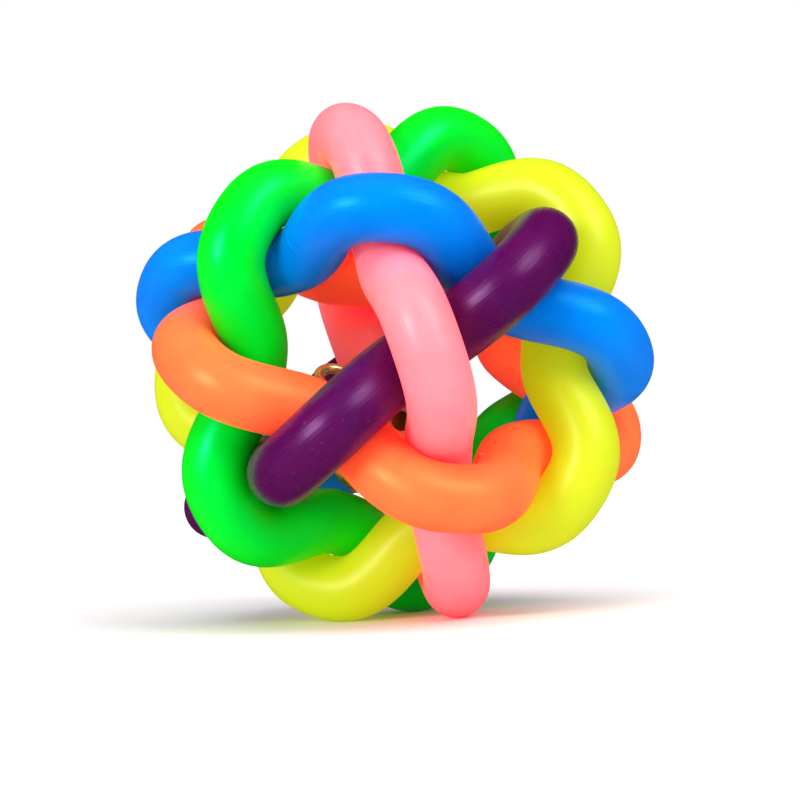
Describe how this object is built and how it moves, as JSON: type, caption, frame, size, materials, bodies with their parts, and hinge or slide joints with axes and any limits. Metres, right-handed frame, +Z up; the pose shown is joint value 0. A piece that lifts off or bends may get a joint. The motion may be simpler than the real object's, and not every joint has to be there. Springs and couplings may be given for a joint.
{
  "type": "woven rubber ball with bell",
  "caption": "Hollow squeeze ball woven from interlinked wavy rubber rings in different colours, with a jingle bell loose inside that rattles when the ball rolls.",
  "frame": {"origin": "centre of the ball", "axes": "+Z up, along a three-fold axis of the weave, so the ball stands on three strands; -Y is the front, where the pink strand runs over the purple one; +X is to the right"},
  "size_m": [0.0662, 0.07, 0.0668],
  "materials": {
    "pink_rubber": "satin, soft, saturated",
    "green_rubber": "satin, soft, saturated",
    "yellow_rubber": "satin, soft, saturated",
    "blue_rubber": "satin, soft, saturated",
    "purple_rubber": "satin, soft, lightly scuffed",
    "orange_rubber": "satin, soft, saturated",
    "bell_brass": "bright plated, drawn sheet",
    "eye_brass": "bright plated wire",
    "pellet_steel": "bright"
  },
  "bodies": {
    "woven_ball": {"pink_strand": "pink_rubber", "green_strand": "green_rubber", "yellow_strand": "yellow_rubber", "blue_strand": "blue_rubber", "purple_strand": "purple_rubber", "orange_strand": "orange_rubber"},
    "bell": {"bell_upper_shell": "bell_brass", "bell_lower_shell": "bell_brass", "bell_eye": "eye_brass"},
    "pellet": {"bell_pellet": "pellet_steel"}
  },
  "joints": [
    {"name": "bell_jump", "type": "slide", "parent": "woven_ball", "child": "bell", "axis": [0, 0, 1], "range_m": [0, 0.0165]},
    {"name": "pellet_jump", "type": "slide", "parent": "bell", "child": "pellet", "axis": [0, 0, 1], "range_m": [0, 0.011]}
  ]
}
